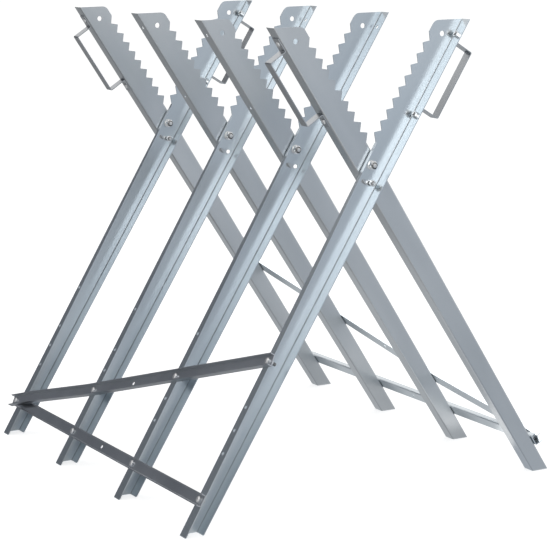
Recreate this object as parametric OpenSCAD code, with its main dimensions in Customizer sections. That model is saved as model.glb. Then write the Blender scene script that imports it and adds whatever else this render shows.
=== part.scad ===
// Folding log sawhorse: four toothed cross frames in a row, opened for use.
// Millimetres. X runs from the left feet to the right feet, Y along the log
// away from the viewer, Z up. The origin is on the floor under the middle.

/* [Stand] */
// Height of the cut arm tops above the floor
stand_h = 800; // [700:5:900]
// Distance from one cross frame to the next
frame_pitch = 250; // [200:5:320]
// Height of the cut arm tops above the pivot line
arm_rise = 230.6; // [224:0.2:250]
// Lean of each leg from the vertical when opened
leg_lean = 32.57; // [28:0.01:38]

/* [Leg section] */
// Thickness of the folded sheet
sheet = 1.5; // [1:0.1:2.5]
// Inner radius of every fold in the sheet
fold_in_r = 1.5; // [0.5:0.1:3]
// Gap between the backs of two crossing legs
web_gap = 0.4; // [0.2:0.1:1]
// Distance of the outer fold from the pivot axis
outer_fold = 27; // [22:0.5:32]
// Width of the outer flange, along the whole leg
outer_flange_w = 23.2; // [16:0.2:30]
// Distance of the slanted inner fold from the pivot axis
inner_fold = 14; // [10:0.5:20]
// Slant of the inner fold, which narrows the leg to the foot
inner_slant = 1.08; // [0:0.01:2]
// Width of the inner flange at the pivot
inner_flange_w = 9.2; // [7:0.2:14]
// Slant of the free edge of the inner flange
inner_edge_slant = 1.2; // [0:0.01:2]
// Distance above the pivot where the inner flange ends
inner_flange_top = 34.5; // [28:0.5:40]

/* [Teeth] */
// Number of teeth on each arm
tooth_count = 9; // [5:1:11]
// Distance from tip to tip
tooth_pitch = 21.3; // [18:0.1:24]
// Distance of the top tip from the pivot
top_tip_t = 218.7; // [200:0.1:230]
// Distance of the top tip from the leg line
top_tip_p = 19.8; // [16:0.1:24]
// Distance of the lowest tip from the leg line
low_tip_p = 23.4; // [18:0.1:28]
// Distance of the top notch from the leg line
top_notch_p = 9.9; // [6:0.1:14]
// Distance of the lowest notch from the leg line
low_notch_p = 13.3; // [8:0.1:16]
// Height of each notch above the tip below it
notch_rise = 9.5; // [6:0.1:14]
// Width of the blunt end of each tip
tip_blunt = 1.2; // [0.4:0.1:2]

/* [Arm top] */
// Distance of the lobe edge from the leg line
lobe_p = 19.3; // [14:0.1:24]
// Distance of the lobe's lower corner from the pivot
lobe_t = 240; // [230:0.5:250]
// Radius of the rounded top corner
lobe_r = 13.5; // [6:0.5:14]
// Distance of the arm hole below the arm top
arm_hole_drop = 23.9; // [20:0.1:27]
// Offset of the arm hole from the leg line
arm_hole_p = 4.7; // [2:0.1:8]
// Radius of the arm hole
arm_hole_r = 4.5; // [3:0.1:6]

/* [Pivot] */
// Radius of the pivot bolt
pivot_r = 4; // [3:0.5:6]
// Radial play of the turning leg on the bolt
pivot_fit = 0.08; // [0.02:0.01:0.1]
// Radial play of the bolt in the fixed leg
pivot_seat = 0.2; // [0.1:0.05:0.4]
// Play between the bolt head and the turning leg
side_play = 0.3; // [0.2:0.05:0.6]
// Width of the pivot bolt head and nut across the flats
pivot_af = 13; // [11:0.5:15]
// Height of the pivot bolt head
pivot_head_h = 5.3; // [4:0.1:7]
// Height of the hexagon of the lock nut
pivot_nut_h = 6.5; // [5:0.1:8]
// Height of the round collar of the lock nut
collar_h = 1.8; // [1:0.1:3]
// Radius of the round collar
collar_r = 5.7; // [5:0.1:6.2]
// Wall of the round collar around the nylon ring
collar_wall = 0.7; // [0.4:0.1:1]
// Radius of the pivot washer
washer_r = 8; // [7:0.5:10]
// Thickness of the pivot washer
washer_h = 1.6; // [1:0.1:2]

/* [Folding slot] */
// Distance of the stop screw from the pivot
stop_r = 30; // [26:0.1:34]
// Half the width of the slot
slot_half = 3.5; // [3.3:0.1:4.5]

/* [Small screws] */
// Radius of the small screws
screw_r = 3; // [2:0.5:4]
// Radial play of a screw in a punched hole
hole_gap = 0.3; // [0.2:0.05:0.6]
// Radial play of a nut on its screw
thread_gap = 0.1; // [0.05:0.05:0.2]
// Width of the small heads and nuts across the flats
screw_af = 10; // [8:0.5:12]
// Height of the small heads
head_h = 4; // [3:0.1:5]
// Height of the small nuts
nut_h = 5; // [4:0.1:6]
// Chamfer at the corners of heads and nuts
hex_chamfer = 0.5; // [0.3:0.1:1]
// Length of a lower brace screw past the leg flange
lower_tail = 7; // [6:0.5:12]
// Length of a sloping brace screw past the leg flange
slope_tail = 13; // [8:0.5:20]
// Length of a handle screw past the leg flange
handle_tail = 7; // [6:0.5:12]
// Radius of the low round head of a handle screw
round_head_r = 5; // [4.5:0.1:6]
// Height of the low round head
round_head_h = 2.6; // [2:0.1:4]
// Length of a stop screw past its nut
stop_tail = 3; // [1:0.5:6]
// Length of a pivot bolt past its lock nut
pivot_tail = 2; // [1:0.5:4]

/* [Braces] */
// Width of the brace channel
brace_w = 21; // [16:0.5:26]
// Depth of the brace channel
brace_d = 9; // [6:0.5:12]
// Distance from the end screw to the end of a brace
brace_end = 12.4; // [9:0.1:18]
// Distance of the lowest flange hole from the floor, along the leg
foot_gap = 64.5; // [50:0.1:80]
// Distance from one flange hole to the next
hole_pitch = 41.3; // [38:0.1:45]
// Distance of the flange holes from the back of the leg
hole_y = 9.6; // [7:0.1:12]
// Length of the raised end of a sloping brace
raised_l = 68; // [60:1:72]
// Distance of its second bend from the next leg's screw
settle_l = 18; // [14:1:30]

/* [Handles] */
// Width of the handle strip
handle_w = 19; // [12:0.5:22]
// Thickness of the handle strip
handle_t = 1.5; // [1:0.1:4]
// Reach of the handle from the leg
handle_reach = 34.4; // [28:0.1:45]
// Length of the grip over its stand-offs
grip_l = 125.5; // [100:0.5:140]
// Length of each foot of the handle
handle_foot = 24.2; // [22:0.1:30]
// Inner radius of the handle bends
handle_in_r = 1; // [0.5:0.1:3]
// Distance of the handle centre below the arm top
handle_drop = 89.6; // [84:0.1:110]
// Distance of each handle screw from its stand-off
handle_hole = 13; // [10:0.5:15]
// Distance of the handle's middle from the back of the leg
handle_y = 11.3; // [8:0.1:14]

/* [Hidden] */
$fn = 64;
fold_r = fold_in_r + sheet;
lap = 1;
frame_y = [for (i = [0:3]) (1.5 - i) * frame_pitch];
pivot_z = stand_h - arm_rise;
arm_top = arm_rise / cos(leg_lean);
run_past = 1.4;
leg_run = run_past * pivot_z;
cut_reach = run_past * stand_h;
low_hole = pivot_z / cos(leg_lean) - foot_gap;
arm_hole_t = arm_top - arm_hole_drop;
handle_t0 = arm_top - handle_drop;
handle_span = grip_l + 2 * handle_hole;
corner_t = (arm_rise - lobe_p * sin(leg_lean)) / cos(leg_lean);
corner_tan = lobe_r / tan(45 + leg_lean / 2);
brace_holes = [0, 2, 3, 4, 6];
slope_holes = [0, 2, 4, 6];
slope_rise = hole_pitch * (slope_holes[1] - slope_holes[0]);
slope_a = atan(slope_rise / frame_pitch);
slope_step = frame_pitch / cos(slope_a);
stop_gap = web_gap / 2 + sheet + side_play;
handle_r = handle_in_r + handle_t;

// Distance along the leg where a line beside it reaches a height
function t_at(z, p) = (z - pivot_z + p * sin(leg_lean)) / cos(leg_lean);
// Leg coordinates of a point given along the slanted inner fold
function slant(x, z) = [x * cos(inner_slant) - z * sin(inner_slant) - inner_fold,
    x * sin(inner_slant) + z * cos(inner_slant)];
// Length along the slanted fold, x beside it, where it meets the floor
function slant_floor(x) = (x * sin(leg_lean - inner_slant) - pivot_z
    - inner_fold * sin(leg_lean)) / cos(leg_lean - inner_slant);
// Place between two values for tooth or notch number k
function along(a, b, k, n) = a + (b - a) * k / n;

// Puts local leg axes into the stand: X across the leg, Z along it
module leg_place(y) {
    translate([0, y, pivot_z])
    rotate([0, leg_lean, 0])
    children();
}

// Turns a part of bank A into its twin of bank B
module bank_b() {
    rotate([0, 0, 180])
    children();
}

// Axes on the outer face of the inner flanges: X off the face, Z along the fold
module flange_place() {
    leg_place(0)
    translate([-inner_fold, -web_gap / 2, 0])
    rotate([0, -inner_slant, 0])
    children();
}

// Quarter ring of a fold with its outer corner at the origin
module fold_ring(out_r, thick) {
    translate([-out_r, -out_r])
    intersection() {
        square(out_r);
        difference() {
            circle(r = out_r);
            circle(r = out_r - thick);
        }
    }
}

// Hexagon with chamfered corners at its upper end
module hex_block(af, h) {
    intersection() {
        cylinder(h = h, r = af / 2 / cos(30), $fn = 6);
        union() {
            cylinder(h = h - hex_chamfer, r = af);
            translate([0, 0, h - hex_chamfer])
            cylinder(h = hex_chamfer, r1 = 0.6 * af, r2 = 0.48 * af);
        }
    }
}

// Shank that points down from the XY plane, chamfered at its end
module shank(r, l) {
    translate([0, 0, hex_chamfer - l])
    cylinder(h = l - hex_chamfer + lap, r = r);
    translate([0, 0, -l])
    cylinder(h = hex_chamfer, r1 = r - hex_chamfer, r2 = r);
}

// Hexagon screw whose head rests on the XY plane
module hex_screw(r, af, hh, l) {
    hex_block(af, hh);
    shank(r, l);
}

// Screw with a low round head that rests on the XY plane
module round_screw(r, head_r, hh, l) {
    rise = hh / 2;
    cylinder(h = hh - rise, r = head_r);
    translate([0, 0, hh - rise])
    cylinder(h = rise, r1 = head_r, r2 = head_r - rise);
    shank(r, l);
}

// Nut that rests on the XY plane and points down
module hex_nut(r, af, h) {
    difference() {
        mirror([0, 0, 1])
        hex_block(af, h);
        translate([0, 0, -h - lap])
        cylinder(h = h + 2 * lap, r = r + thread_gap);
    }
}

// Flat outline of a leg between its folds, with teeth and rounded arm top
module web_outline() {
    fold_edge = outer_fold - fold_r - lap / 2;
    inner_x = fold_r + lap / 2;
    polygon(concat(
        [[fold_edge, t_at(0, fold_edge)],
        [fold_edge, t_at(stand_h, fold_edge)],
        [-lobe_p + corner_tan * cos(leg_lean), corner_t + corner_tan * sin(leg_lean)],
        [-lobe_p, corner_t - corner_tan],
        [-lobe_p, lobe_t]],
        [for (k = [0:tooth_count - 1]) each [
            [-along(top_notch_p, low_notch_p, k, tooth_count),
            top_tip_t - k * tooth_pitch + notch_rise],
            [-along(top_tip_p, low_tip_p, k, tooth_count - 1),
            top_tip_t - k * tooth_pitch + tip_blunt / 2],
            [-along(top_tip_p, low_tip_p, k, tooth_count - 1),
            top_tip_t - k * tooth_pitch - tip_blunt / 2]]],
        [[-low_notch_p, top_tip_t - tooth_count * tooth_pitch + notch_rise],
        slant(fold_r, inner_flange_top),
        slant(inner_x, inner_flange_top - lap / 2),
        slant(inner_x, slant_floor(inner_x))]));
    translate([lobe_r - lobe_p, corner_t - corner_tan])
    circle(r = lobe_r);
}

// Curved slot that guides the stop screw while the stand folds
module slot_outline() {
    intersection() {
        difference() {
            circle(r = stop_r + slot_half);
            circle(r = stop_r - slot_half);
        }
        polygon([[0, 0], [0, -2 * stop_r],
            [2 * stop_r * sin(leg_lean), -2 * stop_r * cos(leg_lean)]]);
    }
    translate([0, -stop_r])
    circle(r = slot_half);
    translate([stop_r * sin(leg_lean), -stop_r * cos(leg_lean)])
    circle(r = slot_half);
}

// Web of a leg with its punched holes
module leg_web(pivot_gap) {
    rotate([90, 0, 0])
    linear_extrude(sheet)
    difference() {
        web_outline();
        circle(r = pivot_r + pivot_gap);
        slot_outline();
        translate([arm_hole_p, arm_hole_t])
        circle(r = arm_hole_r);
    }
}

// Outer fold and flange over the whole leg
module outer_flange() {
    difference() {
        translate([0, 0, -leg_run])
        linear_extrude(leg_run + run_past * arm_rise)
        translate([outer_fold, 0]) {
            fold_ring(fold_r, sheet);
            translate([-sheet, -outer_flange_w])
            square([sheet, outer_flange_w - fold_r]);
            translate([-fold_r - lap, -sheet])
            square([lap, sheet]);
        }
        for (s = [-1, 1])
            translate([outer_fold - sheet / 2, -handle_y, handle_t0 + s * handle_span / 2])
            rotate([0, 90, 0])
            cylinder(h = 4 * sheet, r = screw_r + hole_gap, center = true);
    }
}

// Slanted inner fold and its tapering flange below the teeth
module inner_flange() {
    top = inner_flange_top;
    translate([-inner_fold, 0, 0])
    rotate([0, -inner_slant, 0])
    difference() {
        union() {
            translate([0, 0, -leg_run])
            linear_extrude(leg_run + top)
            mirror([1, 0]) {
                fold_ring(fold_r, sheet);
                translate([-fold_r - lap, -sheet])
                square([lap, sheet]);
            }
            rotate([90, 0, 90])
            linear_extrude(sheet)
            polygon([[-fold_r, top],
                [-inner_flange_w + top * tan(inner_edge_slant), top],
                [-inner_flange_w - leg_run * tan(inner_edge_slant), -leg_run],
                [-fold_r, -leg_run]]);
        }
        for (n = brace_holes)
            translate([sheet / 2, -hole_y, n * hole_pitch - low_hole])
            rotate([0, 90, 0])
            cylinder(h = 4 * sheet, r = screw_r + hole_gap, center = true);
    }
}

// Floor-to-top slab in leg axes that trims the flanges
module stand_slab() {
    rotate([0, -leg_lean, 0])
    translate([-cut_reach, -cut_reach / 2, -pivot_z])
    cube([2 * cut_reach, cut_reach, stand_h]);
}

// One toothed leg with its pivot hole sized by the given play
module leg(y, pivot_gap) {
    leg_place(y)
    translate([0, -web_gap / 2, 0]) {
        leg_web(pivot_gap);
        intersection() {
            union() {
                outer_flange();
                inner_flange();
            }
            stand_slab();
        }
    }
}

module leg_a(i) {
    color("LightSteelBlue")
    leg(frame_y[i], pivot_seat);
}

module leg_b(i) {
    color("Silver")
    bank_b()
    leg(-frame_y[i], pivot_fit);
}

// Channel section of a brace: back on the Y axis, lips towards -X
module brace_section() {
    for (s = [0, 1])
        mirror([0, s]) {
            translate([0, brace_w / 2])
            fold_ring(fold_r, sheet);
            translate([-brace_d, brace_w / 2 - sheet])
            square([brace_d - fold_r, sheet]);
        }
    translate([-sheet, fold_r - brace_w / 2])
    square([sheet, brace_w - 2 * fold_r]);
}

// Length of brace section that runs towards -Y
module brace_run(l) {
    rotate([90, 0, 0])
    linear_extrude(l)
    brace_section();
}

// Punched hole through a brace at a distance from its end screw
module brace_hole(d) {
    translate([-brace_d / 2, -d, 0])
    rotate([0, 90, 0])
    cylinder(h = 4 * brace_d, r = screw_r + hole_gap, center = true);
}

// Straight brace low on the legs
module lower_brace() {
    run = 3 * frame_pitch;
    color("SlateGray")
    flange_place()
    translate([0, frame_y[0] - hole_y, -low_hole])
    difference() {
        translate([0, brace_end, 0])
        brace_run(run + 2 * brace_end);
        for (i = [0:3])
            brace_hole(i * frame_pitch);
        brace_hole(run / 2);
    }
}

// Axes of the sloping brace: -Y runs up it from the first leg's screw
module slope_place() {
    flange_place()
    translate([0, frame_y[0] - hole_y, -low_hole])
    rotate([-slope_a, 0, 0])
    children();
}

// Side view of the joggled brace: the given depth of metal off the leg faces
module joggle_side(depth) {
    far_end = 3 * slope_step + brace_end;
    settled = slope_step - settle_l;
    polygon([[-brace_d, brace_end],
        [-brace_d - depth, brace_end],
        [-brace_d - depth, -raised_l],
        [-depth, -settled],
        [-depth, -far_end],
        [0, -far_end],
        [0, -settled],
        [-brace_d, -raised_l]]);
}

// Brace that climbs two holes per frame and is joggled over the lower brace
module sloping_brace() {
    color("SlateGray")
    slope_place()
    difference() {
        union() {
            linear_extrude(brace_w, center = true)
            joggle_side(sheet);
            for (s = [-1, 1])
                translate([0, 0, s * (brace_w - sheet) / 2])
                linear_extrude(sheet, center = true)
                joggle_side(brace_d);
        }
        for (i = [0:3])
            brace_hole(i * slope_step);
        brace_hole(1.5 * slope_step);
    }
}

// Brace screws of bank A: leg number, hole number, stack height, length past the flange
function brace_seats() = [
    [0, 0, brace_d + sheet, slope_tail], [1, 0, sheet, lower_tail],
    [2, 0, sheet, lower_tail], [3, 0, sheet, lower_tail],
    [1, 2, sheet, slope_tail], [2, 4, sheet, slope_tail], [3, 6, sheet, slope_tail]];

// Axes of a brace screw: Z points out of the flange
module seat_place(leg_no, hole_no, rise) {
    flange_place()
    translate([-rise, frame_y[leg_no] - hole_y, hole_no * hole_pitch - low_hole])
    rotate([0, -90, 0])
    children();
}

module brace_screws() {
    color("Gainsboro")
    for (s = brace_seats())
        seat_place(s[0], s[1], s[2])
        hex_screw(screw_r, screw_af, head_h, s[2] + sheet + s[3]);
}

module brace_nuts() {
    color("Gainsboro")
    for (s = brace_seats())
        seat_place(s[0], s[1], -sheet)
        hex_nut(screw_r, screw_af, nut_h);
}

// Half outline of the handle strip, seen along Y, from its middle upwards
module handle_half() {
    half = grip_l / 2;
    translate([handle_reach - handle_t, 0])
    square([handle_t, half - handle_r]);
    translate([handle_reach, half])
    fold_ring(handle_r, handle_t);
    translate([handle_r, half - handle_t])
    square([handle_reach - 2 * handle_r, handle_t]);
    translate([0, half - handle_t])
    mirror([1, 0])
    mirror([0, 1])
    fold_ring(handle_r, handle_t);
    translate([0, half + handle_in_r])
    square([handle_t, handle_foot - handle_in_r]);
}

// Carrying handle bent from flat strip on the outer flange of leg i
module handle(i) {
    color("SlateGray")
    leg_place(frame_y[i])
    translate([outer_fold, handle_w / 2 - handle_y - web_gap / 2, handle_t0])
    difference() {
        rotate([90, 0, 0])
        linear_extrude(handle_w)
        for (s = [0, 1])
            mirror([0, s])
            handle_half();
        for (s = [-1, 1])
            translate([handle_t / 2, -handle_w / 2, s * handle_span / 2])
            rotate([0, 90, 0])
            cylinder(h = 4 * handle_t, r = screw_r + hole_gap, center = true);
    }
}

// Axes of the two handle screws of leg i: Z points out of the flange
module handle_seats(i, rise) {
    leg_place(frame_y[i])
    for (s = [-1, 1])
        translate([outer_fold + rise, -handle_y - web_gap / 2,
            handle_t0 + s * handle_span / 2])
        rotate([0, 90, 0])
        children();
}

module handle_screws() {
    color("Gainsboro")
    for (i = [0, 3])
        handle_seats(i, handle_t)
        round_screw(screw_r, round_head_r, round_head_h, handle_t + sheet + handle_tail);
}

module handle_nuts() {
    color("Gainsboro")
    for (i = [0, 3])
        handle_seats(i, -sheet)
        hex_nut(screw_r, screw_af, nut_h);
}

// Axes on the near face of the fixed legs' webs: Z points away from the viewer
module pivot_place(i) {
    translate([0, frame_y[i] - web_gap / 2 - sheet, pivot_z])
    rotate([-90, 0, 0])
    children();
}

module pivot_bolts() {
    grip = web_gap + 2 * sheet + side_play;
    color("Gainsboro")
    for (i = [0:3])
        pivot_place(i)
        translate([0, 0, grip])
        hex_screw(pivot_r, pivot_af, pivot_head_h,
            grip + washer_h + pivot_nut_h + collar_h + pivot_tail);
}

module pivot_washers() {
    color("Silver")
    for (i = [0:3])
        pivot_place(i)
        translate([0, 0, -washer_h])
        difference() {
            cylinder(h = washer_h, r = washer_r);
            translate([0, 0, -lap])
            cylinder(h = washer_h + 2 * lap, r = pivot_r + pivot_seat);
        }
}

module pivot_nuts() {
    color("Gainsboro")
    for (i = [0:3])
        pivot_place(i)
        translate([0, 0, -washer_h]) {
            hex_nut(pivot_r, pivot_af, pivot_nut_h);
            translate([0, 0, -pivot_nut_h - collar_h])
            difference() {
                cylinder(h = collar_h + hex_chamfer / 2, r = collar_r);
                translate([0, 0, -lap])
                cylinder(h = collar_h + 2 * lap, r = collar_r - collar_wall);
            }
        }
}

module nylon_rings() {
    color("DimGray")
    for (i = [0:3])
        pivot_place(i)
        translate([0, 0, -washer_h - pivot_nut_h - collar_h])
        difference() {
            cylinder(h = collar_h, r = collar_r - collar_wall - thread_gap / 2);
            translate([0, 0, -lap])
            cylinder(h = collar_h + 2 * lap, r = pivot_r + thread_gap);
        }
}

// Axes of a stop screw straight below the pivot of an end frame
module stop_place(i) {
    translate([0, frame_y[i], pivot_z - stop_r])
    rotate([-90, 0, 0])
    children();
}

module stop_screws() {
    color("Gainsboro")
    for (i = [0, 3])
        stop_place(i)
        translate([0, 0, stop_gap])
        hex_screw(screw_r, screw_af, head_h, 2 * stop_gap + nut_h + stop_tail);
}

module stop_nuts() {
    color("Gainsboro")
    for (i = [0, 3])
        stop_place(i)
        translate([0, 0, -stop_gap])
        hex_nut(screw_r, screw_af, nut_h);
}

leg_a(0);  // leg_a_1
leg_a(1);  // leg_a_2
leg_a(2);  // leg_a_3
leg_a(3);  // leg_a_4
leg_b(0);  // leg_b_1
leg_b(1);  // leg_b_2
leg_b(2);  // leg_b_3
leg_b(3);  // leg_b_4
lower_brace();  // lower_brace_a
bank_b() lower_brace();  // lower_brace_b
sloping_brace();  // sloping_brace_a
bank_b() sloping_brace();  // sloping_brace_b
handle(0);  // handle_a_1
handle(3);  // handle_a_4
bank_b() handle(3);  // handle_b_1
bank_b() handle(0);  // handle_b_4
pivot_bolts();
pivot_washers();
pivot_nuts();
nylon_rings();
stop_screws();
stop_nuts();
brace_screws();  // brace_screws_a
bank_b() brace_screws();  // brace_screws_b
brace_nuts();  // brace_nuts_a
bank_b() brace_nuts();  // brace_nuts_b
handle_screws();  // handle_screws_a
bank_b() handle_screws();  // handle_screws_b
handle_nuts();  // handle_nuts_a
bank_b() handle_nuts();  // handle_nuts_b
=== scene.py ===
import math

import bmesh
import bpy
from mathutils import Matrix, Vector


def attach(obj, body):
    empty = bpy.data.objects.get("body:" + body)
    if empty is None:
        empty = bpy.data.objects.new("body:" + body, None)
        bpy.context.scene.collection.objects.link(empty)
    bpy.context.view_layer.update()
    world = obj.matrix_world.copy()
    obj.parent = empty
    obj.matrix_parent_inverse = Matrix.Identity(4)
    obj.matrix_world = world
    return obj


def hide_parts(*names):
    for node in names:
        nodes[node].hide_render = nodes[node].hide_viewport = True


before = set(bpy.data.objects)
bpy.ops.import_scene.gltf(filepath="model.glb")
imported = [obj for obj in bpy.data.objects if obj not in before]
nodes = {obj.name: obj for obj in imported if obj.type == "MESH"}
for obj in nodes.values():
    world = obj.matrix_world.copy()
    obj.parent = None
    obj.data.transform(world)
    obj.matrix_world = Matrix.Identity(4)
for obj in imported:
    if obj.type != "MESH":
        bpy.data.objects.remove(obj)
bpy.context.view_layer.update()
print("stage: frame loaded,", len(nodes), "nodes")

stand = {"lean": math.radians(32.57), "pivotHeight": 0.5694}


def putInScene(name, data):
    made = bpy.data.objects.new(name, data)
    bpy.context.scene.collection.objects.link(made)
    return made


# camera, measured from the photograph
cameraView = {
    "place": (-1.7731, -3.2417, 1.0213),
    "yaw": math.radians(29.03),     # from +Y towards +X
    "pitch": math.radians(-10.52),
    "roll": math.radians(-0.80),
    "focalPixels": 2074.5,
    "imageWidth": 550.0,
    "sensor": 36.0,
    "farEnd": 200,
}


def placeCamera(view):
    yaw, pitch, roll = view["yaw"], view["pitch"], view["roll"]
    look = Vector((math.sin(yaw) * math.cos(pitch), math.cos(yaw) * math.cos(pitch),
                   math.sin(pitch)))
    right = Vector((math.cos(yaw), -math.sin(yaw), 0))
    up = right.cross(look)
    tiltedRight = right * math.cos(roll) + up * math.sin(roll)
    tiltedUp = up * math.cos(roll) - right * math.sin(roll)
    data = bpy.data.cameras.new("photoCamera")
    data.sensor_fit = "HORIZONTAL"
    data.sensor_width = view["sensor"]
    data.lens = view["focalPixels"] / view["imageWidth"] * view["sensor"]
    data.clip_end = view["farEnd"]
    camera = putInScene("photoCamera", data)
    turn = Matrix((tiltedRight, tiltedUp, -look)).transposed().to_4x4()
    camera.matrix_world = Matrix.Translation(view["place"]) @ turn
    bpy.context.scene.camera = camera


placeCamera(cameraView)
print("stage: camera")


# small helpers for node trees; x and y only lay the nodes out
def addNode(tree, kind, x=0, y=0, **settings):
    made = tree.nodes.new(kind)
    made.location = (x, y)
    for name, value in settings.items():
        setattr(made, name, value)
    return made


def setInputs(made, values):
    for name, value in values.items():
        made.inputs[name].default_value = value
    return made


def newMaterial(name):
    material = bpy.data.materials.new(name)
    material.use_nodes = True
    tree = material.node_tree
    tree.nodes.clear()
    output = addNode(tree, "ShaderNodeOutputMaterial", 900, 0)
    return material, tree, output


def newGroup(name, inputs, outputs):
    group = bpy.data.node_groups.new(name, "ShaderNodeTree")
    for label, kind, value in inputs:
        socket = group.interface.new_socket(name=label, in_out="INPUT",
                                            socket_type="NodeSocket" + kind)
        if value is not None:
            socket.default_value = value
    for label, kind in outputs:
        group.interface.new_socket(name=label, in_out="OUTPUT", socket_type="NodeSocket" + kind)
    start = addNode(group, "NodeGroupInput", -900, 0)
    end = addNode(group, "NodeGroupOutput", 900, 0)
    return group, start, end


# a number is set on the node, and a socket is linked to it
def mathNode(tree, operation, first, second, x=0, y=0, third=None, clamp=False):
    made = addNode(tree, "ShaderNodeMath", x, y, operation=operation, use_clamp=clamp)
    for place, value in enumerate((first, second, third)):
        if isinstance(value, (int, float)):
            made.inputs[place].default_value = value
        elif value is not None:
            tree.links.new(value, made.inputs[place])
    return made.outputs[0]


def mixColours(tree, share, first, second, x=0, y=0):
    made = addNode(tree, "ShaderNodeMix", x, y, data_type="RGBA")
    for place, value in ((0, share), (6, first), (7, second)):
        if isinstance(value, (int, float, tuple)):
            made.inputs[place].default_value = value
        else:
            tree.links.new(value, made.inputs[place])
    return made.outputs[2]


# zinc coat: soft clouds, faint spangle cells and fine grain drawn out along Z
coatPattern = {
    "cloudStretch": (1.0, 1.0, 0.25), "cloudDetail": 3.0, "cloudRoughness": 0.55,
    "cloudContrast": 2.2, "cloudOffset": -0.6, "middle": 0.5,
    "grainStretch": (1.0, 1.0, 0.02), "grainScale": 900.0, "grainDetail": 2.0,
}
coatInputs = (
    ("Vector", "Vector", None), ("Light", "Color", (0.6, 0.6, 0.6, 1)),
    ("Dark", "Color", (0.4, 0.4, 0.4, 1)), ("Cloud Scale", "Float", 14.0),
    ("Spangle Scale", "Float", 160.0), ("Spangle Share", "Float", 0.3),
    ("Grain Share", "Float", 0.3), ("Smooth", "Float", 0.24), ("Rough", "Float", 0.34),
)
coatOutputs = (("Color", "Color"), ("Roughness", "Float"), ("Height", "Float"))


def makeZincCoat():
    group, start, end = newGroup("zincCoat", coatInputs, coatOutputs)
    links, middle = group.links, coatPattern["middle"]
    stretch = setInputs(addNode(group, "ShaderNodeMapping", -700, 200),
                        {"Scale": coatPattern["cloudStretch"]})
    links.new(start.outputs["Vector"], stretch.inputs["Vector"])
    clouds = setInputs(addNode(group, "ShaderNodeTexNoise", -480, 260),
                       {"Detail": coatPattern["cloudDetail"],
                        "Roughness": coatPattern["cloudRoughness"]})
    links.new(stretch.outputs[0], clouds.inputs["Vector"])
    links.new(start.outputs["Cloud Scale"], clouds.inputs["Scale"])
    cells = addNode(group, "ShaderNodeTexVoronoi", -480, 0)
    links.new(start.outputs["Vector"], cells.inputs["Vector"])
    links.new(start.outputs["Spangle Scale"], cells.inputs["Scale"])
    cellTone = addNode(group, "ShaderNodeRGBToBW", -300, 0)
    links.new(cells.outputs["Color"], cellTone.inputs[0])
    drawn = setInputs(addNode(group, "ShaderNodeMapping", -700, -260),
                      {"Scale": coatPattern["grainStretch"]})
    links.new(start.outputs["Vector"], drawn.inputs["Vector"])
    grain = setInputs(addNode(group, "ShaderNodeTexNoise", -480, -260),
                      {"Scale": coatPattern["grainScale"], "Detail": coatPattern["grainDetail"]})
    links.new(drawn.outputs[0], grain.inputs["Vector"])
    centred = mathNode(group, "SUBTRACT", cellTone.outputs[0], middle, -120, 0)
    spangle = mathNode(group, "MULTIPLY", centred, start.outputs["Spangle Share"], 40, 0)
    grainCentred = mathNode(group, "SUBTRACT", grain.outputs["Fac"], middle, -300, -260)
    grainPart = mathNode(group, "MULTIPLY", grainCentred, start.outputs["Grain Share"], -120, -260)
    both = mathNode(group, "ADD", spangle, grainPart, 200, -120)
    steep = mathNode(group, "MULTIPLY_ADD", clouds.outputs["Fac"], coatPattern["cloudContrast"],
                     -120, 260, third=coatPattern["cloudOffset"])
    mask = mathNode(group, "ADD", steep, both, 360, 60, clamp=True)
    colour = mixColours(group, mask, start.outputs["Dark"], start.outputs["Light"], 560, 160)
    links.new(colour, end.inputs["Color"])
    span = mathNode(group, "SUBTRACT", start.outputs["Rough"], start.outputs["Smooth"], 360, -160)
    part = mathNode(group, "MULTIPLY", mask, span, 520, -80)
    roughness = mathNode(group, "ADD", part, start.outputs["Smooth"], 700, -80)
    links.new(roughness, end.inputs["Roughness"])
    links.new(mathNode(group, "ADD", grainCentred, centred, 520, -300), end.inputs["Height"])
    return group


zincCoat = makeZincCoat()

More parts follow.
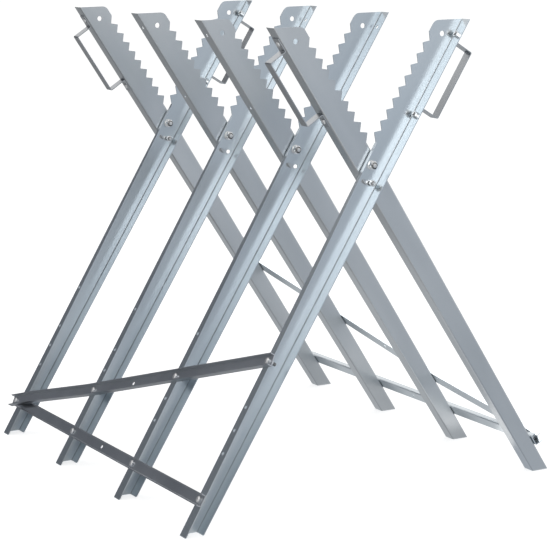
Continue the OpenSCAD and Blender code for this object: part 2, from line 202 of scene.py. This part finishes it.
# smooth is the roughness of the dark clouds and rough that of the light ones;
# under 0.274 the denoiser takes metal as a mirror and leaves wide faces speckled
finishes = {
    # painted light: bank A's legs are a lighter, bluer copy of the same zinc sheet as bank B's, for
    # how each bank catches the light
    "legSheetA": {
        "turn": -stand["lean"], "foldSide": -1,
        "light": (0.625, 0.67, 0.70, 1), "dark": (0.49, 0.535, 0.57, 1),
        "smooth": 0.278, "rough": 0.30, "cloud": 9.0, "spangle": 0.03, "grain": 0.05, "bump": 0.01,
    },
    "legSheetB": {
        "turn": stand["lean"], "foldSide": 1,
        "light": (0.61, 0.63, 0.645, 1), "dark": (0.475, 0.50, 0.52, 1),
        "smooth": 0.278, "rough": 0.30, "cloud": 9.0, "spangle": 0.03, "grain": 0.05, "bump": 0.01,
    },
    # painted light: bank B's braces are a much lighter copy of the same zinc sheet as bank A's, for
    # how each bank catches the light
    "braceSheetA": {
        "turn": 0.0, "light": (0.54, 0.56, 0.59, 1), "dark": (0.46, 0.48, 0.51, 1),
        "smooth": 0.278, "rough": 0.34, "cloud": 12.0, "spangle": 0.04, "grain": 0.04, "bump": 0.01,
    },
    "braceSheetB": {
        "turn": 0.0, "light": (0.74, 0.78, 0.80, 1), "dark": (0.64, 0.68, 0.71, 1),
        "smooth": 0.278, "rough": 0.34, "cloud": 12.0, "spangle": 0.04, "grain": 0.04, "bump": 0.01,
    },
    "handleStrip": {
        "turn": 0.0, "light": (0.46, 0.475, 0.49, 1), "dark": (0.40, 0.415, 0.43, 1),
        "smooth": 0.278, "rough": 0.36, "cloud": 20.0, "spangle": 0.04, "grain": 0.04, "bump": 0.01,
    },
    "zincFastener": {
        "turn": 0.0, "light": (0.88, 0.88, 0.87, 1), "dark": (0.74, 0.74, 0.74, 1),
        "smooth": 0.278, "rough": 0.38, "cloud": 90.0, "spangle": 0.06, "grain": 0.04, "bump": 0.01,
    },
    "brightNut": {
        "turn": 0.0, "light": (0.95, 0.95, 0.94, 1), "dark": (0.84, 0.84, 0.84, 1),
        "smooth": 0.12, "rough": 0.20, "cloud": 90.0, "spangle": 0.04, "grain": 0.04, "bump": 0.01,
    },
}
bumpHeight = 0.0004
# painted shade: the crease attribute and the fold line darken the zinc towards this colour, at most
# by this share
paintedShadeLook = {"share": 0.85, "colour": (0.05, 0.052, 0.056, 1)}

# painted shade: a dark line painted in the fold between web and outer flange, repeated from frame
# to frame;
# across is measured in the leg's turned coordinates
foldLine = {"across": 0.2810, "offWeb": 0.0017, "pitch": 0.25, "inner": 0.0005, "outer": 0.0014,
            "share": 0.4}


def makeFoldMask(tree, point, side):
    parts = addNode(tree, "ShaderNodeSeparateXYZ", -700, 500)
    tree.links.new(point, parts.inputs[0])
    across = mathNode(tree, "SUBTRACT", parts.outputs[0], side * foldLine["across"], -500, 560)
    start = foldLine["pitch"] / 2 + side * foldLine["offWeb"]
    along = mathNode(tree, "SUBTRACT", parts.outputs[1], start, -700, 440)
    nearest = mathNode(tree, "PINGPONG", along, foldLine["pitch"] / 2, -500, 440)
    both = addNode(tree, "ShaderNodeCombineXYZ", -300, 500)
    tree.links.new(across, both.inputs[0])
    tree.links.new(nearest, both.inputs[1])
    away = addNode(tree, "ShaderNodeVectorMath", -120, 500, operation="LENGTH")
    tree.links.new(both.outputs[0], away.inputs[0])
    fade = setInputs(addNode(tree, "ShaderNodeMapRange", 60, 500),
                     {"From Min": foldLine["inner"], "From Max": foldLine["outer"],
                      "To Min": foldLine["share"], "To Max": 0.0})
    tree.links.new(away.outputs["Value"], fade.inputs["Value"])
    return fade.outputs[0]


def makeZinc(name, finish):
    material, tree, output = newMaterial(name)
    place = addNode(tree, "ShaderNodeTexCoord", -900, 0)
    turned = setInputs(addNode(tree, "ShaderNodeMapping", -700, 0),
                       {"Rotation": (0.0, finish["turn"], 0.0)})
    tree.links.new(place.outputs["Object"], turned.inputs["Vector"])
    coat = addNode(tree, "ShaderNodeGroup", -400, 0, node_tree=zincCoat)
    tree.links.new(turned.outputs[0], coat.inputs["Vector"])
    setInputs(coat, {"Light": finish["light"], "Dark": finish["dark"],
                     "Cloud Scale": finish["cloud"], "Spangle Share": finish["spangle"],
                     "Grain Share": finish["grain"], "Smooth": finish["smooth"],
                     "Rough": finish["rough"]})
    bump = setInputs(addNode(tree, "ShaderNodeBump", 200, -200),
                     {"Strength": finish["bump"], "Distance": bumpHeight})
    tree.links.new(coat.outputs["Height"], bump.inputs["Height"])
    metal = setInputs(addNode(tree, "ShaderNodeBsdfPrincipled", 500, 0), {"Metallic": 1.0})
    # painted shade from the crease attribute and the fold line is mixed into the base colour
    crease = addNode(tree, "ShaderNodeAttribute", -400, 300, attribute_name="crease")
    paintedShade = mathNode(tree, "MULTIPLY", crease.outputs["Fac"], paintedShadeLook["share"], 0, 300)
    if "foldSide" in finish:
        fold = makeFoldMask(tree, turned.outputs[0], finish["foldSide"])
        paintedShade = mathNode(tree, "MAXIMUM", paintedShade, fold, 240, 400)
    tint = mixColours(tree, paintedShade, coat.outputs["Color"], paintedShadeLook["colour"], 200, 200)
    tree.links.new(tint, metal.inputs["Base Color"])
    tree.links.new(coat.outputs["Roughness"], metal.inputs["Roughness"])
    tree.links.new(bump.outputs[0], metal.inputs["Normal"])
    tree.links.new(metal.outputs[0], output.inputs[0])
    return material


nylon = {"scale": 900.0, "detail": 3.0, "dark": (0.012, 0.013, 0.016, 1),
         "light": (0.035, 0.036, 0.04, 1), "smooth": 0.42, "spread": 0.2}


def makeNylon():
    material, tree, output = newMaterial("nylonRing")
    place = addNode(tree, "ShaderNodeTexCoord", -600, 0)
    speckle = setInputs(addNode(tree, "ShaderNodeTexNoise", -400, 0),
                        {"Scale": nylon["scale"], "Detail": nylon["detail"]})
    tree.links.new(place.outputs["Object"], speckle.inputs["Vector"])
    tint = mixColours(tree, speckle.outputs["Fac"], nylon["dark"], nylon["light"], -100, 100)
    dull = mathNode(tree, "MULTIPLY_ADD", speckle.outputs["Fac"], nylon["spread"], -100, -100,
                    third=nylon["smooth"])
    plastic = addNode(tree, "ShaderNodeBsdfPrincipled", 300, 0)
    tree.links.new(tint, plastic.inputs["Base Color"])
    tree.links.new(dull, plastic.inputs["Roughness"])
    tree.links.new(plastic.outputs[0], output.inputs[0])
    return material


materials = {name: makeZinc(name, finish) for name, finish in finishes.items()}
materials["nylonRing"] = makeNylon()

# by the start of a node's name; what isn't named here is a plain zinc fastener
finishOf = {
    "leg_a": "legSheetA", "leg_b": "legSheetB",
    "lower_brace_a": "braceSheetA", "sloping_brace_a": "braceSheetA",
    "lower_brace_b": "braceSheetB", "sloping_brace_b": "braceSheetB",
    "handle_a": "handleStrip", "handle_b": "handleStrip", "nylon": "nylonRing",
}


def dressNodes():
    for name, piece in nodes.items():
        chosen = next((finish for start, finish in finishOf.items() if name.startswith(start)),
                      "zincFastener")
        piece.data.materials.clear()
        piece.data.materials.append(materials[chosen])


dressNodes()
print("stage: materials")


# fasteners in metres: they sit where the plain ones do, and replace them
seats = {
    "frameY": (0.375, 0.125, -0.125, -0.375), "webHalf": 0.0002, "sheet": 0.0015,
    "innerFold": 0.014, "innerSlant": math.radians(1.08), "outerFold": 0.027,
    "holeY": 0.0096, "holePitch": 0.0413, "footGap": 0.0645, "braceDepth": 0.009,
    "handleY": 0.0113, "handleHeight": 0.18403, "handleSpan": 0.1515, "handleStrip": 0.0015,
    "stopReach": 0.030, "stopGap": 0.0020,
    "longTail": 0.013, "shortTail": 0.007, "stopTail": 0.003,
}
small = {"radius": 0.003, "flats": 0.010, "head": 0.004, "nut": 0.005, "pitch": 0.001,
         "chamfer": 0.0005}
large = {"radius": 0.004, "flats": 0.013, "head": 0.0053, "nut": 0.0065, "pitch": 0.00125,
         "chamfer": 0.0007}
pivotStack = {"grip": 0.0037, "washer": 0.0016, "collar": 0.0018, "collarRadius": 0.0057,
              "ringRadius": 0.0052, "tail": 0.002, "edge": 0.0002}
turning = {"sides": 36, "merge": 1e-7, "sharp": math.radians(32), "chamferFoot": 0.955,
           "cornerReach": 0.985, "chamferShares": (0.0, 0.4, 0.75, 1.0)}
# painted shade on the thread, darkest at its roots where shade falls; the cut tip is a little
# darker too
thread = {"rowsPerTurn": 6, "depth": 0.6, "rootPaintedShade": 0.45, "paintedShade": 0.55, "tip": 1.2,
          "tipDarkening": 0.2}
# shares of the width over the flats: radius, and drop below the top
hexCrown = {"rows": ((0.0, 0.0), (0.08, 0.0), (0.2, 0.008), (0.31, 0.03), (0.41, 0.07)),
            "foot": 0.1}
# radius and height
roundHead = ((0.0, 0.0026), (0.0008, 0.0026), (0.0022, 0.0025), (0.0035, 0.0021),
             (0.0044, 0.0015), (0.0049, 0.0009), (0.0050, 0.0002), (0.0048, 0.0))
# painted shade: the bore of each nut is darkened where shade falls inside it
nutBore = {"gap": 0.0001, "chamfer": 0.0004, "paintedShade": 0.8}


# rows give radius, height and painted shade, the darkening where shade falls in crevices, threads
# and bores; an open outline starts and ends on the axis
def spinOutline(rows, closed=False):
    bm = bmesh.new()
    crease = bm.verts.layers.float.new("crease")
    verts = []
    for radius, height, paintedShade in rows:
        vert = bm.verts.new((radius, 0.0, height))
        vert[crease] = paintedShade
        verts.append(vert)
    edges = [bm.edges.new(pair) for pair in zip(verts, verts[1:] + (verts[:1] if closed else []))]
    bmesh.ops.spin(bm, geom=verts + edges, cent=(0, 0, 0), axis=(0, 0, 1), angle=math.tau,
                   steps=turning["sides"], use_merge=True)
    bmesh.ops.remove_doubles(bm, verts=bm.verts, dist=turning["merge"])
    return bm


# six flats cut off a round head or nut
def cutFlats(bm, flats):
    for side in range(6):
        turn = math.pi / 6 + side * math.pi / 3
        across = Vector((math.cos(turn), math.sin(turn), 0.0))
        cut = bmesh.ops.bisect_plane(bm, geom=bm.verts[:] + bm.edges[:] + bm.faces[:],
                                     dist=turning["merge"], plane_co=across * flats / 2,
                                     plane_no=across, clear_outer=True)
        rim = [part for part in cut["geom_cut"] if isinstance(part, bmesh.types.BMEdge)]
        bmesh.ops.edgeloop_fill(bm, edges=rim)
    return bm


# the thread is pressed into the plain shank, one turn to each pitch
def pressThread(bm, sizes, first, last):
    crease = bm.verts.layers.float["crease"]
    for vert in bm.verts:
        reach = vert.co.xy.length
        if last + turning["merge"] < vert.co.z < first - turning["merge"] and reach > 0:
            turn = math.atan2(vert.co.y, vert.co.x) / math.tau
            dip = abs(2 * ((vert.co.z / sizes["pitch"] + turn) % 1.0) - 1)
            deep = sizes["radius"] - thread["depth"] * sizes["pitch"] * dip
            vert.co.xy *= min(reach, deep) / reach
            # painted shade: the thread is darkened, most at its roots
            vert[crease] = thread["paintedShade"] + thread["rootPaintedShade"] * dip
    return bm


def hexRows(sizes, first, last):
    shares, half = turning["chamferShares"], sizes["flats"] / 2
    step = math.copysign(sizes["chamfer"] / (len(shares) - 1), last - first)
    foot = turning["chamferFoot"] * half
    corner = turning["cornerReach"] * half / math.cos(math.pi / 6)
    cuts = [(foot + share * (corner - foot), count) for count, share in enumerate(shares)]
    start = [(radius, first + step * count, 0.0) for radius, count in cuts]
    return start + [(radius, last - step * count, 0.0) for radius, count in reversed(cuts)]


def shankRows(sizes, threadStart, length):
    radius, chamfer = sizes["radius"], sizes["chamfer"]
    step = sizes["pitch"] / thread["rowsPerTurn"]
    rows = [(radius, 0.0, 0.0), (radius, -threadStart, 0.0)]
    for row in range(1, int((length - threadStart) / step) + 1):
        height = -threadStart - row * step
        rows.append((radius - max(0.0, chamfer - length - height), height, 0.0))
    tip = radius - thread["tip"] * chamfer
    return rows + [(tip, -length, thread["tipDarkening"]), (0.0, -length, thread["tipDarkening"])]


def makeHexScrew(sizes, threadStart, length):
    top, flats = sizes["head"], sizes["flats"]
    rows = [(share * flats, top - drop * flats, 0.0) for share, drop in hexCrown["rows"]]
    rows += hexRows(sizes, top - hexCrown["foot"] * flats, 0.0)
    rows += shankRows(sizes, threadStart, length)
    return pressThread(cutFlats(spinOutline(rows), flats), sizes, -threadStart, -length)


def makeRoundScrew(sizes, threadStart, length):
    rows = [(radius, height, 0.0) for radius, height in roundHead]
    rows += shankRows(sizes, threadStart, length)
    return pressThread(spinOutline(rows), sizes, -threadStart, -length)


# a nut hangs down from height zero, and its bore closes the outline; the bore is painted dark as
# shade
def makeNut(sizes):
    bore, foot = sizes["radius"] + nutBore["gap"], -sizes["nut"]
    chamfer, paintedShade = nutBore["chamfer"], nutBore["paintedShade"]
    inner = [(bore + chamfer, foot, paintedShade), (bore, foot + chamfer, paintedShade),
             (bore, -chamfer, paintedShade), (bore + chamfer, 0.0, paintedShade)]
    return cutFlats(spinOutline(hexRows(sizes, 0.0, foot) + inner, closed=True), sizes["flats"])


def makeLockNut(sizes):
    foot, wide, edge = -sizes["nut"], pivotStack["collarRadius"], pivotStack["edge"]
    end, ring = foot - pivotStack["collar"], pivotStack["ringRadius"]
    bore = sizes["radius"] + edge
    # painted shade: the groove between hex and collar, the ring seat and the bore are darkened
    # where shade falls
    collar = [(wide + edge, foot - edge / 4, 0.9), (wide, foot - 1.5 * edge, 0.5),
              (wide, end + 2.5 * edge, 0.0), (wide - edge, end + edge / 2, 0.0),
              (wide - 2 * edge, end, 0.0), (ring, end + edge, 0.4), (ring, foot - edge, 1.0),
              (bore, foot, 1.0), (bore, 0.0, 1.0)]
    return cutFlats(spinOutline(hexRows(sizes, 0.0, foot) + collar, closed=True), sizes["flats"])


def makeNylonRing(sizes):
    edge = pivotStack["edge"]
    foot = -sizes["nut"] - edge
    end = -sizes["nut"] - pivotStack["collar"] + 1.5 * edge
    inner, outer = sizes["radius"] + edge / 2, pivotStack["ringRadius"] - edge / 4
    middle = (inner + outer) / 2
    rows = [(inner, foot, 0.0), (outer, foot, 0.0), (outer, end + edge, 0.0),
            (middle + edge, end, 0.0), (middle - edge, end, 0.0), (inner, end + edge, 0.0)]
    return spinOutline(rows, closed=True)


# places on the stand: each turns a fastener's axis and moves it to its seat
def legPlace(y):
    return (Matrix.Translation((0, y, stand["pivotHeight"]))
            @ Matrix.Rotation(stand["lean"], 4, "Y"))


def bracePlace(leg, hole, rise):
    lowest = stand["pivotHeight"] / math.cos(stand["lean"]) - seats["footGap"]
    flange = legPlace(0) @ Matrix.Translation((-seats["innerFold"], -seats["webHalf"], 0))
    flange = flange @ Matrix.Rotation(-seats["innerSlant"], 4, "Y")
    along = hole * seats["holePitch"] - lowest
    spot = Matrix.Translation((-rise, seats["frameY"][leg] - seats["holeY"], along))
    return flange @ spot @ Matrix.Rotation(-math.pi / 2, 4, "Y")


def handlePlace(leg, side, rise):
    height = seats["handleHeight"] + side * seats["handleSpan"] / 2
    spot = Matrix.Translation((seats["outerFold"] + rise, -seats["handleY"] - seats["webHalf"],
                               height))
    return legPlace(seats["frameY"][leg]) @ spot @ Matrix.Rotation(math.pi / 2, 4, "Y")


def crossPlace(y, height):
    return Matrix.Translation((0, y, height)) @ Matrix.Rotation(-math.pi / 2, 4, "X")


# parts are pairs of place and bmesh, joined into one piece
def makeFastener(node, body, finish, parts, turned=False):
    bm = bmesh.new()
    mesh = bpy.data.meshes.new("fine_" + node)
    for place, shape in parts:
        bmesh.ops.transform(shape, matrix=place, verts=shape.verts)
        shape.to_mesh(mesh)
        shape.free()
        bm.from_mesh(mesh)
    if turned:
        bmesh.ops.transform(bm, matrix=Matrix.Rotation(math.pi, 4, "Z"), verts=bm.verts)
    bmesh.ops.recalc_face_normals(bm, faces=bm.faces)
    bm.to_mesh(mesh)
    bm.free()
    mesh.shade_smooth()
    mesh.set_sharp_from_angle(angle=turning["sharp"])
    mesh.materials.append(materials[finish])
    piece = putInScene("fine_" + node, mesh)
    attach(piece, body)
    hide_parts(node)


# bank B is bank A after half a turn
banks = (("a", "frame_a", False), ("b", "frame_b", True))

# leg, hole, height of the stack and tail past the flange
braceSeats = (
    (0, 0, seats["braceDepth"] + seats["sheet"], seats["longTail"]),
    (1, 0, seats["sheet"], seats["shortTail"]),
    (2, 0, seats["sheet"], seats["shortTail"]),
    (3, 0, seats["sheet"], seats["shortTail"]),
    (1, 2, seats["sheet"], seats["longTail"]),
    (2, 4, seats["sheet"], seats["longTail"]),
    (3, 6, seats["sheet"], seats["longTail"]),
)


def makeBraceFasteners():
    sheet = seats["sheet"]
    for bank, body, turned in banks:
        screws = [(bracePlace(leg, hole, rise),
                   makeHexScrew(small, rise + sheet + small["nut"], rise + sheet + tail))
                  for leg, hole, rise, tail in braceSeats]
        nuts = [(bracePlace(leg, hole, -sheet), makeNut(small))
                for leg, hole, rise, tail in braceSeats]
        makeFastener("brace_screws_" + bank, body, "zincFastener", screws, turned)
        makeFastener("brace_nuts_" + bank, body, "brightNut", nuts, turned)


def makeHandleFasteners():
    strip, sheet = seats["handleStrip"], seats["sheet"]
    threadStart, length = strip + sheet + small["nut"], strip + sheet + seats["shortTail"]
    spots = [(leg, side) for leg in (0, 3) for side in (-1, 1)]
    for bank, body, turned in banks:
        screws = [(handlePlace(leg, side, strip), makeRoundScrew(small, threadStart, length))
                  for leg, side in spots]
        nuts = [(handlePlace(leg, side, -sheet), makeNut(small)) for leg, side in spots]
        makeFastener("handle_screws_" + bank, body, "zincFastener", screws, turned)
        makeFastener("handle_nuts_" + bank, body, "brightNut", nuts, turned)


def makePivotFasteners():
    near = seats["webHalf"] + seats["sheet"]
    height, grip, washer = stand["pivotHeight"], pivotStack["grip"], pivotStack["washer"]
    nutEnd = grip + washer + large["nut"] + pivotStack["collar"]
    threadStart, length = nutEnd - pivotStack["edge"], nutEnd + pivotStack["tail"]
    bolts = [(crossPlace(y - near + grip, height), makeHexScrew(large, threadStart, length))
             for y in seats["frameY"]]
    nuts = [(crossPlace(y - near - washer, height), makeLockNut(large)) for y in seats["frameY"]]
    rings = [(crossPlace(y - near - washer, height), makeNylonRing(large))
             for y in seats["frameY"]]
    makeFastener("pivot_bolts", "frame_a", "zincFastener", bolts)
    makeFastener("pivot_nuts", "frame_a", "brightNut", nuts)
    makeFastener("nylon_rings", "frame_a", "nylonRing", rings)


def makeStopFasteners():
    height, gap = stand["pivotHeight"] - seats["stopReach"], seats["stopGap"]
    stack = 2 * gap + small["nut"]
    ends = (seats["frameY"][0], seats["frameY"][3])
    screws = [(crossPlace(y + gap, height), makeHexScrew(small, stack, stack + seats["stopTail"]))
              for y in ends]
    nuts = [(crossPlace(y - gap, height), makeNut(small)) for y in ends]
    makeFastener("stop_screws", "stops", "zincFastener", screws)
    makeFastener("stop_nuts", "stops", "brightNut", nuts)


makeBraceFasteners()
makeHandleFasteners()
makePivotFasteners()
makeStopFasteners()
print("stage: fasteners")


# studio: white floor and world, soft boxes and dark flags that only gloss sees
studio = {"white": (1, 1, 1, 1), "worldGlow": 1.0, "worldDim": 0.55, "floorHalf": 30.0,
          "floorHeight": -0.0005, "floorColour": (0.80, 0.80, 0.80, 1), "floorGlow": 0.62,
          "lampAim": (0, 0, 0.4)}


def lightPathShare(tree, x=0, y=0):
    path = addNode(tree, "ShaderNodeLightPath", x, y)
    cameraOrGloss = mathNode(tree, "MAXIMUM", path.outputs["Is Camera Ray"],
                             path.outputs["Is Glossy Ray"], x + 200, y)
    return mathNode(tree, "MAXIMUM", cameraOrGloss, path.outputs["Is Transmission Ray"],
                    x + 380, y)


def makeWorld():
    world = bpy.data.worlds.new("studioWorld")
    bpy.context.scene.world = world
    world.use_nodes = True
    world.cycles.sampling_method = "NONE"
    tree = world.node_tree
    tree.nodes.clear()
    output = addNode(tree, "ShaderNodeOutputWorld", 600, 0)
    white = setInputs(addNode(tree, "ShaderNodeBackground", 200, 100),
                      {"Color": studio["white"], "Strength": studio["worldGlow"]})
    dim = setInputs(addNode(tree, "ShaderNodeBackground", 200, -100),
                    {"Color": studio["white"], "Strength": studio["worldDim"]})
    mix = addNode(tree, "ShaderNodeMixShader", 400, 0)
    tree.links.new(lightPathShare(tree, -400, 200), mix.inputs[0])
    tree.links.new(dim.outputs[0], mix.inputs[1])
    tree.links.new(white.outputs[0], mix.inputs[2])
    tree.links.new(mix.outputs[0], output.inputs[0])


def makeFloor():
    bm = bmesh.new()
    bmesh.ops.create_grid(bm, x_segments=1, y_segments=1, size=studio["floorHalf"])
    mesh = bpy.data.meshes.new("studioFloor")
    bm.to_mesh(mesh)
    bm.free()
    floor = putInScene("studioFloor", mesh)
    floor.location.z = studio["floorHeight"]
    material, tree, output = newMaterial("studioFloor")
    matte = setInputs(addNode(tree, "ShaderNodeBsdfDiffuse", 200, 100),
                      {"Color": studio["floorColour"]})
    glow = setInputs(addNode(tree, "ShaderNodeEmission", 0, -100), {"Color": studio["white"]})
    strength = mathNode(tree, "MULTIPLY", lightPathShare(tree, -700, -200), studio["floorGlow"],
                        -150, -200)
    tree.links.new(strength, glow.inputs["Strength"])
    both = addNode(tree, "ShaderNodeAddShader", 500, 0)
    tree.links.new(matte.outputs[0], both.inputs[0])
    tree.links.new(glow.outputs[0], both.inputs[1])
    tree.links.new(both.outputs[0], output.inputs[0])
    material.cycles.emission_sampling = "NONE"
    mesh.materials.append(material)


softBoxes = {
    "keyBox": {"place": (-1.25, -3.3, 2.1), "size": (1.9, 1.1), "watts": 18.5},
    "topBox": {"place": (0.3, 1.8, 4.4), "size": (3.0, 2.0), "watts": 40.0},
}


def makeSoftBoxes():
    for name, box in softBoxes.items():
        data = bpy.data.lights.new(name, "AREA")
        data.shape = "RECTANGLE"
        data.size, data.size_y = box["size"]
        data.energy = box["watts"]
        lamp = putInScene(name, data)
        lamp.location = box["place"]
        toStand = Vector(studio["lampAim"]) - lamp.location
        lamp.rotation_euler = toStand.to_track_quat("-Z", "Y").to_euler()


# tone is what the metal sees; corner and the two sides are in metres
flags = {
    "backFlag": {"corner": (-6.0, 3.0, 0.0), "across": (5.8, 0, 0), "up": (0, 0, 2.4),
                 "tone": (0.155, 0.165, 0.185, 1)},
    "leftFloorFlag": {"corner": (-4.0, -0.2, 0.001), "across": (3.97, 0, 0), "up": (0, 3.2, 0),
                      "tone": (0.35, 0.36, 0.37, 1)},
    "nearFloorFlag": {"corner": (-4.0, -1.6, 0.001), "across": (3.97, 0, 0), "up": (0, 1.4, 0),
                      "tone": (0.60, 0.61, 0.62, 1)},
    "rearFloorFlag": {"corner": (-0.03, -0.2, 0.001), "across": (3.5, 0, 0), "up": (0, 3.2, 0),
                      "tone": (0.58, 0.60, 0.62, 1)},
    "sideFlag": {"corner": (-2.3, -3.2, 0.9), "across": (-1.4, 3.6, 0), "up": (0, 0, 3.2),
                 "tone": (0.10, 0.10, 0.11, 1)},
    "frontFlag": {"corner": (-3.4, -3.7, 0.0), "across": (3.8, 0, 0), "up": (0, 0, 1.5),
                  "tone": (0.33, 0.38, 0.43, 1)},
    "rightFlag": {"corner": (0.5, -2.8, 0.0), "across": (3.0, 0.9, 0.9), "up": (0, 0, 0.42),
                  "tone": (0.46, 0.53, 0.62, 1)},
    "rightFloorFlag": {"corner": (0.0, -6.0, 0.001), "across": (6.0, 0, 0), "up": (0, 5.7, 0),
                       "tone": (0.56, 0.60, 0.65, 1)},
}


def makeFlags():
    for name, flag in flags.items():
        bm = bmesh.new()
        corner, across, up = (Vector(flag[key]) for key in ("corner", "across", "up"))
        edge = bm.edges.new([bm.verts.new(corner), bm.verts.new(corner + across)])
        raised = bmesh.ops.extrude_edge_only(bm, edges=[edge])["geom"]
        raisedVerts = [part for part in raised if isinstance(part, bmesh.types.BMVert)]
        bmesh.ops.translate(bm, vec=up, verts=raisedVerts)
        mesh = bpy.data.meshes.new(name)
        bm.to_mesh(mesh)
        bm.free()
        panel = putInScene(name, mesh)
        panel.visible_camera = False
        panel.visible_diffuse = False
        panel.visible_transmission = False
        panel.visible_shadow = False
        material, tree, output = newMaterial(name)
        glow = setInputs(addNode(tree, "ShaderNodeEmission", 300, 0), {"Color": flag["tone"]})
        tree.links.new(glow.outputs[0], output.inputs[0])
        material.cycles.emission_sampling = "NONE"
        mesh.materials.append(material)


makeWorld()
makeFloor()
makeSoftBoxes()
makeFlags()
print("stage: studio")

bpy.context.scene.view_settings.view_transform = "Standard"
